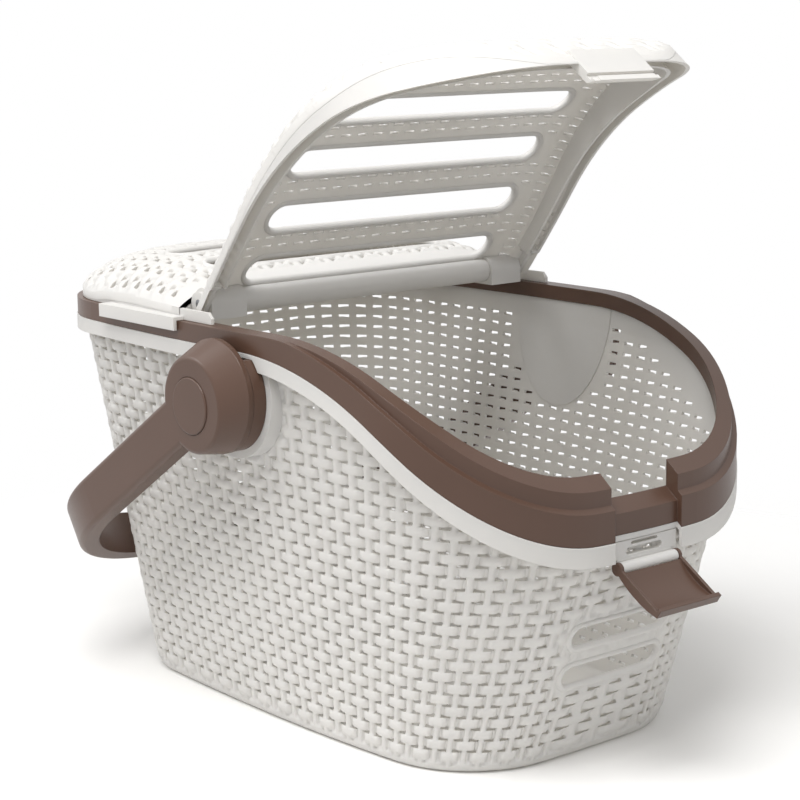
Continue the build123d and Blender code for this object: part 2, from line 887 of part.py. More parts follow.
def button_spring():
    """Coil spring between the hub's floor and the button's face."""
    start = floor_face + seat_gap / 2
    room = handle_half_width + button_proud - button_thickness - seat_gap / 2 - start
    rise = room - spring_wire
    with BuildPart() as body:
        with BuildLine() as coil:
            Helix(rise / spring_turns, rise, spring_radius,
                  center=(pivot_x, start + spring_wire / 2, pivot_z), direction=(0, 1, 0))
        with BuildSketch(Plane(origin=coil.line @ 0, z_dir=coil.line % 0)):
            Circle(spring_wire / 2)
        sweep()
    return body.part


def bolt():
    """Shoulder screw that holds a hub on its housing."""
    with BuildPart() as body:
        add(pivot_disc(bolt_radius, bolt_tip + seat_gap, washer_face))
        add(pivot_disc(bolt_head_radius, washer_face, bolt_face))
    return body.part


def washer():
    """Flat washer under the bolt's head."""
    with BuildPart() as body:
        add(pivot_disc(washer_radius, boss_end, washer_face))
        add(pivot_disc(bolt_radius + pin_fit, boss_end, washer_face), mode=Mode.SUBTRACT)
    return body.part


def screws():
    """Screws that fix a housing to its pad."""
    with BuildPart() as body:
        add(screw_bodies(screw_radius, screw_tip, screw_shoulder))
        add(screw_bodies(screw_head_radius, screw_shoulder, screw_face))
    return body.part


def lid_pin():
    """Pin of the lid's hinge."""
    return hinge_disc(lid_pin_radius, pin_start + seat_gap, ear_end)


# Latch
fall = radians(latch_fall)
plate_back = rim_half_length - wall_inset + part_gap
plate_front = plate_back + bracket_thickness
plate_bottom = latch_z + lever_eye + bracket_gap


def lever_plane(y):
    """Plane across the lever, with X along it from its pin and Y up from it."""
    return Plane(origin=(latch_x, y, latch_z), x_dir=(cos(fall), 0, -sin(fall)), z_dir=(0, -1, 0))


def lever_plate():
    """Plate of the lever, bowed down between its ends, with a lip at its far end."""
    half = lever_thickness / 2
    far = lever_length
    middle = (lever_start + far) / 2
    with BuildPart() as body:
        with BuildSketch(lever_plane(lever_half_width)):
            with BuildLine():
                ThreePointArc((lever_start, half), (middle, half - lever_bow), (far - half, half))
                Polyline((far - half, half), (far - half, lever_lip), (far + half, lever_lip),
                         (far + half, -half))
                ThreePointArc((far + half, -half), (middle, -half - lever_bow), (lever_start, -half))
                Line((lever_start, -half), (lever_start, half))
            make_face()
        extrude(amount=2 * lever_half_width)
    return body.part


def lever_ribs():
    """Ribs along both sides of the lever, each with a round eye for the pin."""
    half = lever_thickness / 2
    far = lever_length
    middle = (lever_start + far) / 2
    with BuildPart() as body:
        with BuildSketch(lever_plane(lever_half_width)):
            with BuildLine():
                Polyline((0, -half), (0, lever_rib_height), (far, lever_rib_height), (far, -half))
                ThreePointArc((far, -half), (middle, -half - lever_bow), (0, -half))
            make_face()
            Circle(lever_eye)
        extrude(amount=lever_rib)
        mirror(about=Plane.XZ)
    return body.part


with BuildPart() as latch_bracket:
    add(slab(plate_back, plate_front, -bracket_half_width, bracket_half_width, plate_bottom, bracket_top))
    with BuildSketch(Plane.YZ.offset(plate_back)):
        for z, half_length, height in bracket_slots:
            with Locations((0, z)):
                SlotOverall(2 * half_length, height)
    extrude(amount=bracket_thickness, mode=Mode.SUBTRACT)
    add(slab(plate_back, plate_back + bracket_web, -bracket_bar_half_length, bracket_bar_half_length, latch_z,
             plate_bottom))
    add(disc(latch_x, latch_z, bracket_bar_radius, -bracket_bar_half_length, bracket_bar_half_length))
    add(disc(latch_x, latch_z, latch_pin_radius + pin_fit, -reach, reach), mode=Mode.SUBTRACT)
latch_bracket.part.label = "latch_bracket"

with BuildPart() as latch_lever:
    add(lever_plate())
    add(lever_ribs())
    add(disc(latch_x, latch_z, latch_pin_radius + pin_fit, -latch_pin_half_length - part_gap,
             latch_pin_half_length + part_gap), mode=Mode.SUBTRACT)
latch_lever.part.label = "latch_lever"

with BuildPart() as latch_pin:
    add(disc(latch_x, latch_z, latch_pin_radius, -latch_pin_half_length, latch_pin_half_length))
latch_pin.part.label = "latch_pin"

os.makedirs("parts", exist_ok=True)
export_step(basket.part, "parts/basket.step")
export_step(rim_ring.part, "parts/rim_ring.step")
export_step(front_lid.part, "parts/front_lid.step")
export_step(rear_cover.part, "parts/rear_cover.step")
export_step(handle.part, "parts/handle.step")
export_step(latch_bracket.part, "parts/latch_bracket.step")
export_step(latch_lever.part, "parts/latch_lever.step")
export_step(latch_pin.part, "parts/latch_pin.step")

# Pieces that come in pairs, one for each side
paired = {
    "pivot_housing": housing(),
    "release_button": button(),
    "button_spring": button_spring(),
    "pivot_bolt": bolt(),
    "pivot_washer": washer(),
    "housing_screws": screws(),
    "lid_hinge_pin": lid_pin(),
}
for name, left in paired.items():
    for side, piece in (("left", left), ("right", left.mirror(Plane.XZ))):
        piece.label = f"{name}_{side}"
        export_step(piece, f"parts/{name}_{side}.step")
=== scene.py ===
import json
import math

import bmesh
import bpy
import numpy as np
from mathutils import Matrix, Vector


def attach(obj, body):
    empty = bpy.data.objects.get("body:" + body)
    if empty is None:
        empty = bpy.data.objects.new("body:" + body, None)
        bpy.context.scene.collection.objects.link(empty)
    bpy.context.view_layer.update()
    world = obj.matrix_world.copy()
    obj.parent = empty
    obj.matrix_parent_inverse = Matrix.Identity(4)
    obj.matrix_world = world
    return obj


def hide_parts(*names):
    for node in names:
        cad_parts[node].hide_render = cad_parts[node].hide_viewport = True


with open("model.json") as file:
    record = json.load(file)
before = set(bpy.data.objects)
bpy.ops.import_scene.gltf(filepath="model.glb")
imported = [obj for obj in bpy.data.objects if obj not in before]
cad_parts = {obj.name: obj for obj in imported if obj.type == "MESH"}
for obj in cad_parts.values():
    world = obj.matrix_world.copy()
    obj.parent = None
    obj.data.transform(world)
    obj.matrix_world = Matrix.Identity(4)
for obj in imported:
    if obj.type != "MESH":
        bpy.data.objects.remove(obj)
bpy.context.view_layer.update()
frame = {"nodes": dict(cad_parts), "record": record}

# Looks of the pet carrier. Shapes are worked out in millimetres and put into the
# meshes in metres. X is the front, Z is up, and the lid is drawn closed, then opened.

MM = 0.001

# ---- Sizes that the woven pieces share with the solids
# Outlines seen from above. A quarter is: half length, half width, corner, side and end radius.
RIM_FRONT = (255.0, 168.0, 116.0, 1243.0, 1607.0)
RIM_REAR = (255.0, 168.0, 92.0, 2253.0, 2257.0)
FOOT_FRONT = (199.0, 124.0, 77.0, 1380.0, 1730.0)
FOOT_REAR = (193.3, 124.0, 59.0, 2360.0, 2360.0)
WALL_FRONT = (287.0, 160.0, 131.0, 1380.0, 1730.0)
WALL_REAR = (248.0, 160.0, 82.0, 2360.0, 2360.0)
LID_FRONT = (250.0, 158.0, 111.0, 1163.0, 1741.0)

# Side lines of the rim and of the ring on it
SLOPE = math.radians(38.77)
RIM_LENGTH = 255.0
RIM_TOP = 278.0
RIM_LOW = 163.1  # height of the rim at its front end
RIM_BEND = 240.0
RING_TOP = 291.5
RING_RISE = 25.5  # height of the ring over the rim's slope, square to it

# Wall of the basket: the wall ends under the ring's lip, or over the rim in the latch's notch
WALL_TOP = 280.0
WALL_THICKNESS = 2.5
WALL_PIECES = 4
WALL_INSET = 10.0  # least distance of the wall inside the rim's outline
WALL_LENGTHS = (1230.0, 1560.0)  # length around the wall at its foot and at its top
UNDER_LIP = 2.8
OVER_RIM = 8.7
FLANGE_UNDER = 2.9
FOOT_TOP = 4.8
FOOT_MARGIN = 0.2
FRONT_START = 150.0  # the front wall lies ahead of this
NOTCH_HALF = 34.3
VENT_HEIGHTS = (66.5, 96.0)
VENT_HALF = 45.5
VENT_RADIUS = 7.25
VENT_START = 170.0
VENT_SIDE = 56.0
VENT_RANGE = (50.0, 112.0)
FRONT_OUT = (0.954, 0.3)  # forward and downward shares of the front wall's outward direction

# Pads behind the hubs, and the smooth shields inside the wall there
HUB_X, HUB_Z = 14.6, 246.8
PAD_RADIUS = 45.0
SHIELD_HALF = 48.5
SHIELD_DEPTH = 80.0
SHIELD_OVER = 10.0  # how far a shield runs up over the rim line, inside the ring
SHIELD_POWER = 2.4  # how blunt its lower end is
SHIELD_BACK = 0.1
SHIELD_FACE = 0.9

# Roofs of the lid and the cover: the height of the edge, the rise of the roof over it, and two powers, one
# for how square the roof is seen from above and one for how it rounds down to its edge
ROOF_THICKNESS = 3.0
ROOF_INSET = 2.5
PAST_EDGE = 1.2
THINNEST = 0.2
WINDOW_STEP = 48.5
WINDOW_RADIUS = 11.0
HINGE_X, HINGE_Z = -38.6, 302.8
LID_OPENING = math.radians(53.0)
LID_WINDOWS = (-17.5, 31.0, 79.5, 128.0)
LID_WINDOW_HALF = 116.0
LID_FOOT = 0.3
LID_EDGE = 6.0
LID_RISE = 14.3
LID_SWELL = 0.0089
LID_SWELL_START = 10.0
LID_SWELL_POWER = 1.5
LID_SQUARE = 4.9
LID_ROUND = 11 / 4.9
LID_SEAT = 1.0
COVER_INSET = 5.0
COVER_FRONT = -48.5
COVER_REAR = -250.0
COVER_WINDOWS = (-88.0, -136.5)
COVER_WINDOW_HALF = 108.0
COVER_FOOT = 291.8
COVER_EDGE = 8.0
COVER_RISE = 28.5
COVER_FALL = 13.0
COVER_PEAK = -150.0
COVER_SQUARE = 4.4
COVER_ROUND = 8 / 4.4
COVER_SEAT = 292.5

# Rolled trims around the long openings: width, thickness and how deep their middle lies
VENT_TRIM = (4.6, 5.0, 1.2)
WINDOW_TRIM = (5.0, 6.0, 1.5)
TRIM_OVERLAP = 0.4  # how far a trim hangs over the edge of its slot
TRIM_SECTION = 14

# ---- Weave: upright posts, and strands that pass over every second post
POSTS = 96
POST_STEP = 14.4
ROW_STEP = 8.5
WALL_ROWS = 36
ROOF_STEP = WINDOW_STEP / 6
LID_PHASE = 5.7
COVER_PHASE = -112.25 - WINDOW_STEP / 12
COLUMN_CUTS = np.array((0.0, 0.14, 0.2, 0.34, 0.42, 0.58, 0.66, 0.8, 0.86))
ROW_CUTS = np.array((-0.5, -0.22, -0.14, 0.14, 0.22))
SLOT_COLUMNS = (2, 6)
SLOT_ROW = 2
STRAND_HEIGHT = 2.9
STRAND_REACH = 9.0
STRAND_HALF = 3.6
BAR_HEIGHT = 2.4
BAR_HALF = 3.0
GROUND = 1.5
LEAN = 0.3
LEAN_START = 2.9

# Plain bands beside edges, and the lengths over which the weave grows from them
PAD_FADE = 1.5
FOOT_FADE = 3.0
FLANGE_FADE = 2.0
VENT_PLAIN, VENT_FADE = 4.5, 2.5
EDGE_PLAIN, EDGE_FADE = 1.5, 2.5
WINDOW_PLAIN, WINDOW_FADE = 2.0, 2.0
BACK_PLAIN, BACK_FADE = 6.0, 4.0
LID_PLAIN, COVER_PLAIN, FRONT_FADE = 2.0, 15.0, 3.0
WHOLE_WEAVE = 0.99
SLOT_EDGE, SLOT_WINDOW, SLOT_BACK, SLOT_FRONT = 2.2, 4.5, 9.0, 3.0

# Tests that find the plain faces of the solids that the woven pieces stand for
WALL_CLOSE = 0.5
WALL_UPRIGHT = 0.5
ROOF_CLOSE = 0.4
ROOF_LEVEL = 0.15
WINDOW_MARGIN = 2.7
BEARING_STEP = 0.001


def line_height(x, top, front, bend):
    """Side line of the rim: level, then a tangent arc of radius bend, then the slope down to the front."""
    start = RIM_LENGTH - (top - front) / math.tan(SLOPE) - bend * math.tan(SLOPE / 2)
    end = start + bend * math.sin(SLOPE)
    arc = top - bend + np.sqrt(np.maximum(bend**2 - np.clip(x - start, 0, bend)**2, 0))
    return np.where(x < start, top, np.where(x < end, arc, front + (RIM_LENGTH - x) * math.tan(SLOPE)))


def rim_line(x, offset):
    """Side line at a distance square to the rim's edge."""
    return line_height(x, RIM_TOP + offset, RIM_LOW + offset / math.cos(SLOPE), RIM_BEND + offset)


def lip_line(x, offset):
    """Side line at a distance square to the top of the ring."""
    front = RIM_LOW + (RING_RISE + offset) / math.cos(SLOPE)
    return line_height(x, RING_TOP + offset, front, RIM_BEND + offset)


def arc_centres(length, width, corner, side, end):
    """Centres and end angles of three tangent arcs: side, corner and end of a quarter outline."""
    side_centre = np.array((0.0, width - side))
    end_centre = np.array((length - end, 0.0))
    between = end_centre - side_centre
    span = np.hypot(*between)
    along = ((side - corner)**2 - (end - corner)**2 + span**2) / (2 * span)
    across = math.sqrt((side - corner)**2 - along**2)
    unit = between / span
    square = np.array((-unit[1], unit[0]))
    square = square if square.sum() > 0 else -square
    centre = side_centre + unit * along + square * across
    to_side, to_end = centre - side_centre, centre - end_centre
    side_angle = math.atan2(to_side[1], to_side[0])
    end_angle = math.atan2(to_end[1], to_end[0])
    return side_centre, centre, end_centre, side_angle, end_angle


def quarter(length, width, corner, side, end, count=160):
    """Points and outward directions along the end, corner and side arcs, one row each."""
    side_centre, centre, end_centre, side_angle, end_angle = arc_centres(length, width, corner, side, end)
    runs = ((end_centre, end, 0.0, end_angle), (centre, corner, end_angle, side_angle),
            (side_centre, side, side_angle, math.pi / 2))
    rows = []
    for middle, radius, first, last in runs:
        angle = np.linspace(first, last, count)
        out = np.stack((np.cos(angle), np.sin(angle)), 1)
        rows.append(np.hstack((middle + radius * out, out)))
    return np.vstack(rows)


def loop(front, rear):
    """Closed outline seen from above, anticlockwise from the front: x, y and outward direction."""
    ahead, behind = quarter(*front), quarter(*rear)
    return np.vstack((ahead, (behind * (-1, 1, -1, 1))[::-1], behind * (-1, -1, -1, -1),
                      (ahead * (1, -1, 1, -1))[::-1]))


# The posts stand evenly along an outline at 7 tenths of the wall's height.
FOOT_LOOP = loop(FOOT_FRONT, FOOT_REAR)
WALL_LOOP = loop(WALL_FRONT, WALL_REAR)
RIM_LOOP = loop(RIM_FRONT, RIM_REAR)
MIDDLE_LOOP = 0.3 * FOOT_LOOP + 0.7 * WALL_LOOP
AROUND = np.concatenate(((0.0,), np.cumsum(np.hypot(*np.diff(MIDDLE_LOOP[:, :2], axis=0).T))))
AROUND = AROUND / AROUND[-1]


def at(table, around):
    """Rows of a loop at a share of the way around."""
    return np.stack([np.interp(around, AROUND, table[:, k]) for k in range(table.shape[1])], -1)


def wall_point(around, z, depth):
    """Point of the basket's wall: foot and rim outlines mixed by height, kept inside the rim, then set
    out by a depth along the outward direction."""
    share = (z / WALL_TOP)[..., None]
    mixed = at(FOOT_LOOP, around) * (1 - share) + at(WALL_LOOP, around) * share
    out = mixed[..., 2:] / np.linalg.norm(mixed[..., 2:], axis=-1, keepdims=True)
    rim = at(RIM_LOOP, around)
    room = ((rim[..., :2] - WALL_INSET * rim[..., 2:] - mixed[..., :2]) * out).sum(-1)
    plan = mixed[..., :2] + out * (np.minimum(room, 0) + depth)[..., None]
    return np.concatenate((plan, z[..., None]), -1)


def fade(distance, length):
    """Grows from 0 to 1 over a length."""
    return np.clip(distance / length, 0, 1)


def weave(post, row, amount):
    """Height of the weave: the highest of a flat-topped upright bar at each post, a brick-shaped strand over
    every second post of a row, shifted by one post from row to row, and the ground between them. Also how
    far the long edges of a strand lean out over the gaps between the rows."""
    nearest = np.round(post)
    beside = np.abs(post - nearest) * POST_STEP
    line = np.floor(row + 1e-6)
    above = (row - line - 0.5) * ROW_STEP
    over = np.where((nearest + line) % 2 == 0, beside, POST_STEP - beside)
    along = np.clip(1 - (over / STRAND_REACH)**8, 0, 1)
    strand = STRAND_HEIGHT * along * np.clip(1 - (above / STRAND_HALF)**6, 0, 1)
    bar = BAR_HEIGHT * np.clip(1 - (beside / BAR_HALF)**4, 0, 1)
    lean = LEAN * along * np.sign(above) * (np.abs(above) > LEAN_START)
    return (np.maximum(strand, bar) - GROUND) * amount, lean * amount


def sheet_faces(keep):
    """Four-cornered faces of a sheet with an outer and an inner side, and a wall along each edge between
    a kept cell and a missing one. Cells wrap around in the first direction. Corner numbers of the inner
    side follow those of the outer side. Also the column that each face belongs to."""
    columns, rows = keep.shape[0], keep.shape[1] + 1
    number = np.arange(columns * rows).reshape(columns, rows)
    inner = columns * rows
    following = np.roll(number, -1, 0)
    outside = np.stack((number[:, :-1], following[:, :-1], following[:, 1:], number[:, 1:]), -1)[keep]
    column = np.broadcast_to(np.arange(columns)[:, None], keep.shape)[keep]
    faces, columns_of = [outside, outside[:, ::-1] + inner], [column, column]
    padded = np.pad(keep, ((0, 0), (1, 1)))
    beside = np.roll(keep, 1, 0)
    walls = (
        (padded[:, 1:] & ~padded[:, :-1], following, number),
        (~padded[:, 1:] & padded[:, :-1], number, following),
        (keep & ~beside, number[:, :-1], number[:, 1:]),
        (~keep & beside, number[:, 1:], number[:, :-1]),
    )
    for where, first, second in walls:
        a, b = first[where], second[where]
        faces.append(np.stack((a, b, b + inner, a + inner), -1))
        columns_of.append(np.broadcast_to(np.arange(columns)[:, None], where.shape)[where])
    return np.vstack(faces), np.concatenate(columns_of)


def two_sides(outer, inner):
    """Points of an outer side in one list, followed by those of the inner side."""
    return np.vstack((outer.reshape(-1, 3), inner.reshape(-1, 3)))


def add_piece(name, points, faces, body, node, merge, smooth):
    """Piece from points in millimetres and their faces, with spare points left out and close ones merged. It
    moves with a body and stands for a CAD node, alone or with others."""
    mesh = bpy.data.meshes.new(name)
    used, index = np.unique(faces, return_inverse=True)
    mesh.from_pydata(points[used] * MM, [], index.reshape(faces.shape))
    work = bmesh.new()
    work.from_mesh(mesh)
    bmesh.ops.remove_doubles(work, verts=work.verts, dist=merge * MM)
    work.to_mesh(mesh)
    work.free()
    mesh.validate()
    mesh.shade_smooth()
    mesh.set_sharp_from_angle(angle=math.radians(smooth))
    piece = bpy.data.objects.new(name, mesh)
    bpy.context.scene.collection.objects.link(piece)
    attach(piece, body)
    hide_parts(node)
    return piece


def grid_piece(name, points, faces, body, node, smooth=50):
    """Piece from a grid of points and its four-cornered faces, with faces of no area left out."""
    corners = points[faces]
    area = np.linalg.norm(np.cross(corners[:, 2] - corners[:, 0], corners[:, 3] - corners[:, 1]), axis=1)
    return add_piece(name, points, faces[area > 1e-4], body, node, merge=0.02, smooth=smooth)


def slot_push(u, v, middle_u, middle_v, half, radius):
    """Moves points inside a long round-ended slot out to its edge. Says which were inside, and how far
    each point is from the edge."""
    core = np.clip(u, middle_u - half + radius, middle_u + half - radius)
    away_u, away_v = u - core, v - middle_v
    distance = np.maximum(np.hypot(away_u, away_v), 1e-6)
    inside = distance < radius
    scale = np.where(inside, radius / distance, 1.0)
    return core + away_u * scale, middle_v + away_v * scale, inside, distance - radius


def all_corners(marks):
    """Cells whose four corners are all marked."""
    return marks[:-1, :-1] & marks[1:, :-1] & marks[:-1, 1:] & marks[1:, 1:]


def all_corners_around(marks):
    """The same where the grid closes on itself in the first direction."""
    return all_corners(np.vstack((marks, marks[:1])))


def turned(points, angle):
    """Turns points about the lid's hinge."""
    x, z = points[..., 0] - HINGE_X, points[..., 2] - HINGE_Z
    c, s = math.cos(angle), math.sin(angle)
    return np.stack((HINGE_X + x * c - z * s, points[..., 1], HINGE_Z + x * s + z * c), -1)


def opened(points):
    """Turns points of the closed lid to where it stands open."""
    return turned(points, LID_OPENING)


def edge_share(ahead, y, length, width, power):
    """Share of the way out to a roof's edge: 1 on the edge itself, held a little past it."""
    return np.minimum((ahead / length)**power + (np.abs(y) / width)**power, PAST_EDGE)


def lid_height(x, y, inset=0.0):
    """Roof of the lid: its edge line, plus a rise that swells to the front and rounds down to the edge."""
    length, width = LID_FRONT[:2]
    rise = LID_RISE + LID_SWELL * np.maximum(x - LID_SWELL_START, 0)**LID_SWELL_POWER
    share = edge_share(np.maximum(x, 0), y, length - inset, width - inset, LID_SQUARE)
    return lip_line(x, LID_FOOT) + LID_EDGE + rise * (1 - share**LID_ROUND)


def cover_height(x, y, inset=0.0):
    """Roof of the fixed cover: highest behind the middle, and rounded down to its wall."""
    length, width = RIM_REAR[0] - COVER_INSET, RIM_REAR[1] - COVER_INSET
    rise = COVER_RISE - COVER_FALL * (np.maximum(x - COVER_PEAK, 0) / (COVER_FRONT - COVER_PEAK))**2
    share = edge_share(np.maximum(-x, 0), y, length - inset, width - inset, COVER_SQUARE)
    return COVER_FOOT + COVER_EDGE + rise * (1 - share**COVER_ROUND)


def lid_seat(x):
    """Lowest height of the roof's inner side, just above the lid's lower edge."""
    return lip_line(x, LID_SEAT)


def cover_seat(x):
    """Lowest height of the cover's inner side."""
    return np.full_like(x, COVER_SEAT)


def edge_room(x, y, outline, inset):
    """Distance inside an outline of three tangent arcs, and the outward direction at its nearest edge."""
    corner, side, end = outline[2:]
    side_centre, centre, end_centre, side_angle, end_angle = arc_centres(*outline)
    px, py = np.abs(x), np.abs(y)
    nx, ny = px - centre[0], py - centre[1]
    room = corner - np.hypot(nx, ny)
    for (cx, cy), radius, test in (
            (side_centre, side, lambda angle: angle > side_angle),
            (end_centre, end, lambda angle: angle < end_angle)):
        dx, dy = px - cx, py - cy
        use = test(np.arctan2(dy, dx))
        room = np.where(use, radius - np.hypot(dx, dy), room)
        nx, ny = np.where(use, dx, nx), np.where(use, dy, ny)
    size = np.maximum(np.hypot(nx, ny), 1e-6)
    return room - inset, np.sign(x) * nx / size, np.sign(y) * ny / size


# ---- Basket wall
def slot_cells(ready):
    """Cells of the slots: the middle columns and the middle row of a cell of the weave whose middle columns
    are all ready for it."""
    count, rows = len(COLUMN_CUTS), ready.shape[1]
    first, last = SLOT_COLUMNS
    column = np.arange(ready.shape[0]) % count
    line = np.arange(rows) % len(ROW_CUTS)
    slot = ((column >= first) & (column <= last))[:, None] & (line == SLOT_ROW)[None]
    grouped = ready.reshape(-1, count, rows)[:, first:last + 1].all(1)
    return slot & np.repeat(grouped, count, 0)


def basket_wall():
    """Woven wall of the basket, in four pieces: a grid around the basket and up into the ring, with slots
    between the rows, open vents and a smooth place behind each hub."""
    post = (np.arange(POSTS)[:, None] + COLUMN_CUTS).ravel()
    row = (np.arange(1, WALL_ROWS)[:, None] + ROW_CUTS).ravel()
    post, row = np.meshgrid(post, row, indexing="ij")
    around, z = post / POSTS, np.maximum(row * ROW_STEP, FOOT_TOP)
    plan = wall_point(around, z, np.zeros_like(z))
    is_front = plan[..., 0] > FRONT_START
    top = lip_line(plan[..., 0], -UNDER_LIP)
    top = np.where(is_front & (np.abs(plan[..., 1]) < NOTCH_HALF), rim_line(plan[..., 0], OVER_RIM), top)
    missing = z > top
    z = np.minimum(z, top)
    pad = np.hypot(plan[..., 0] - HUB_X, z - HUB_Z) - PAD_RADIUS
    room = rim_line(plan[..., 0], -FLANGE_UNDER) - z
    amount = fade(pad, PAD_FADE) * fade(z - FOOT_TOP, FOOT_FADE) * fade(room, FLANGE_FADE)
    for height in VENT_HEIGHTS:
        y, new_z, inside, distance = slot_push(plan[..., 1], z, 0.0, height, VENT_HALF, VENT_RADIUS)
        inside = inside & is_front
        scale = np.interp(z, (0, WALL_TOP), WALL_LENGTHS)
        around = np.where(inside, around + (y - plan[..., 1]) / scale, around)
        z = np.where(inside, new_z, z)
        missing |= inside
        amount = np.where(is_front, amount * fade(distance - VENT_PLAIN, VENT_FADE), amount)
    around = around % 1.0
    relief, lean = weave(post, row, amount)
    outer = wall_point(around, z + lean, relief)
    inner = wall_point(around, z, np.full_like(z, -WALL_THICKNESS))
    keep = ~all_corners_around(missing) & ~slot_cells(all_corners_around(amount > WHOLE_WEAVE))
    points = two_sides(outer, inner)
    faces, column_of = sheet_faces(keep)
    part_of = column_of * WALL_PIECES // keep.shape[0]
    return [grid_piece(f"basket_weave_{k + 1}", points, faces[part_of == k], "carrier", "basket")
            for k in range(WALL_PIECES)]


def shield(name, side):
    """Smooth plate inside the wall behind a hub: wide under the ring and rounded at its lower end."""
    across, up = np.meshgrid(np.linspace(-1, 1, 41), np.linspace(0, 1, 33), indexing="ij")
    width = SHIELD_HALF * np.maximum(1 - (1 - up)**SHIELD_POWER, 0)**0.5
    half_way = len(MIDDLE_LOOP) // 2
    middle = np.interp(-HUB_X, -MIDDLE_LOOP[:half_way, 0], AROUND[:half_way])
    length = POSTS * POST_STEP
    around = (middle if side > 0 else 1 - middle) + across * width / length
    plan = wall_point(around, np.full_like(across, HUB_Z), np.zeros_like(across))
    z = rim_line(plan[..., 0], SHIELD_OVER) - (SHIELD_DEPTH + SHIELD_OVER) * (1 - up)
    outer = wall_point(around, z, np.full_like(z, -WALL_THICKNESS + SHIELD_BACK))
    inner = wall_point(around, z, np.full_like(z, -WALL_THICKNESS - SHIELD_FACE))
    keep = np.zeros((across.shape[0], across.shape[1] - 1), bool)
    keep[:-1] = True
    faces, _ = sheet_faces(keep)
    return grid_piece(name, two_sides(outer, inner), faces, "carrier", "basket")


# ---- Roofs of the lid and the cover
def roof_sheet(name, body, node, height, outline, inset, x_range, windows, window_half, phase, plain_front,
               seat, place=None):
    """Woven roof over a rounded outline with long windows: a height for each place seen from above, the
    weave set out square to it, and an even inner side."""
    first = math.floor((x_range[0] - phase) / ROOF_STEP) - 1
    last = math.ceil((x_range[1] - phase) / ROOF_STEP) + 1
    side = math.ceil((outline[1] - inset) / POST_STEP) + 1
    row = (np.arange(first, last)[:, None] + ROW_CUTS).ravel()
    post = (np.arange(-side, side)[:, None] + COLUMN_CUTS).ravel()
    post, row = np.meshgrid(post, row, indexing="ij")
    x, y = phase + row * ROOF_STEP, post * POST_STEP
    missing = (x < x_range[0]) | (x > x_range[1])
    x = np.clip(x, *x_range)
    room, nx, ny = edge_room(x, y, outline, inset)
    missing |= room < 0
    pull = np.minimum(room, 0)
    x, y = x + nx * pull, y + ny * pull
    x = np.clip(x, *x_range)
    near = np.full_like(x, np.inf)
    for middle in windows:
        y, x, inside, distance = slot_push(y, x, 0.0, middle, window_half, WINDOW_RADIUS)
        missing |= inside
        near = np.minimum(near, distance)
    back, front = x - x_range[0], x_range[1] - plain_front - x
    amount = fade(room - EDGE_PLAIN, EDGE_FADE) * fade(near - WINDOW_PLAIN, WINDOW_FADE)
    amount = amount * fade(back - BACK_PLAIN, BACK_FADE) * fade(front, FRONT_FADE)
    relief, lean = weave(post, row, amount)
    z = height(x, y)
    slope_x = height(x + 0.5, y) - height(x - 0.5, y)
    slope_y = height(x, y + 0.5) - height(x, y - 0.5)
    up = np.stack((-slope_x, -slope_y, np.ones_like(z)), -1)
    up /= np.linalg.norm(up, axis=-1, keepdims=True)
    surface = np.stack((x, y, z), -1)
    outer = surface + up * relief[..., None] + lean[..., None] * np.array((1.0, 0.0, 0.0))
    under = np.minimum(height(x, y, ROOF_INSET) - ROOF_THICKNESS, z - THINNEST)
    inner = np.stack((x, y, np.maximum(under, seat(x))), -1)
    open_place = (room > SLOT_EDGE) & (near > SLOT_WINDOW) & (back > SLOT_BACK) & (front > SLOT_FRONT)
    keep = np.zeros((post.shape[0], post.shape[1] - 1), bool)
    ready = keep.copy()
    keep[:-1] = ~all_corners(missing)
    ready[:-1] = all_corners(open_place & ~missing)
    keep &= ~slot_cells(ready)
    faces, _ = sheet_faces(keep)
    points = two_sides(outer, inner)
    points = points if place is None else place(points)
    return grid_piece(name, points, faces[:, ::-1], body, node)


def slot_trim(name, body, node, surface, middle, half, radius, trim, place=None):
    """Rolled trim around a long slot: an oval carried around the slot's edge on a surface."""
    across, thick, sink = trim
    straight = half - radius
    turns = np.linspace(-math.pi / 2, math.pi / 2, 17)
    c, s = np.cos(turns), np.sin(turns)
    run = np.linspace(-straight, straight, 25)[1:-1]
    one = np.ones_like(run)
    path = np.vstack((
        np.stack((straight + radius * c, radius * s, c, s), 1),
        np.stack((run[::-1], radius * one, 0 * one, one), 1),
        np.stack((-straight - radius * c, -radius * s, -c, -s), 1),
        np.stack((run, -radius * one, 0 * one, -one), 1),
    ))
    angle = np.arange(TRIM_SECTION) * 2 * math.pi / TRIM_SECTION
    shift = (across / 2 - TRIM_OVERLAP + across / 2 * np.cos(angle))[None]
    u = path[:, :1] + path[:, 2:3] * shift
    v = middle + path[:, 1:2] + path[:, 3:4] * shift
    points = surface(u, v, np.broadcast_to(thick / 2 * np.sin(angle) - sink, u.shape))
    points = points if place is None else place(points)
    number = np.arange(u.size).reshape(u.shape)
    ahead = np.roll(number, -1, 0)
    faces = np.stack((number, ahead, np.roll(ahead, -1, 1), np.roll(number, -1, 1)), -1).reshape(-1, 4)
    return grid_piece(name, points.reshape(-1, 3), faces, body, node, smooth=80)


def roof_place(height):
    """Places across and along a roof, with a height over it."""
    return lambda u, v, rise: np.stack((v, u, height(v, u) + rise), -1)


def front_place(u, v, rise):
    """Places across and up the front wall, with a height square to it."""
    foot, top, end_radius = FOOT_FRONT[0], WALL_FRONT[0], FOOT_FRONT[4]
    x = foot + (top - foot) * v / WALL_TOP - u**2 / (2 * end_radius)
    return np.stack((x + rise * FRONT_OUT[0], u, v - rise * FRONT_OUT[1]), -1)


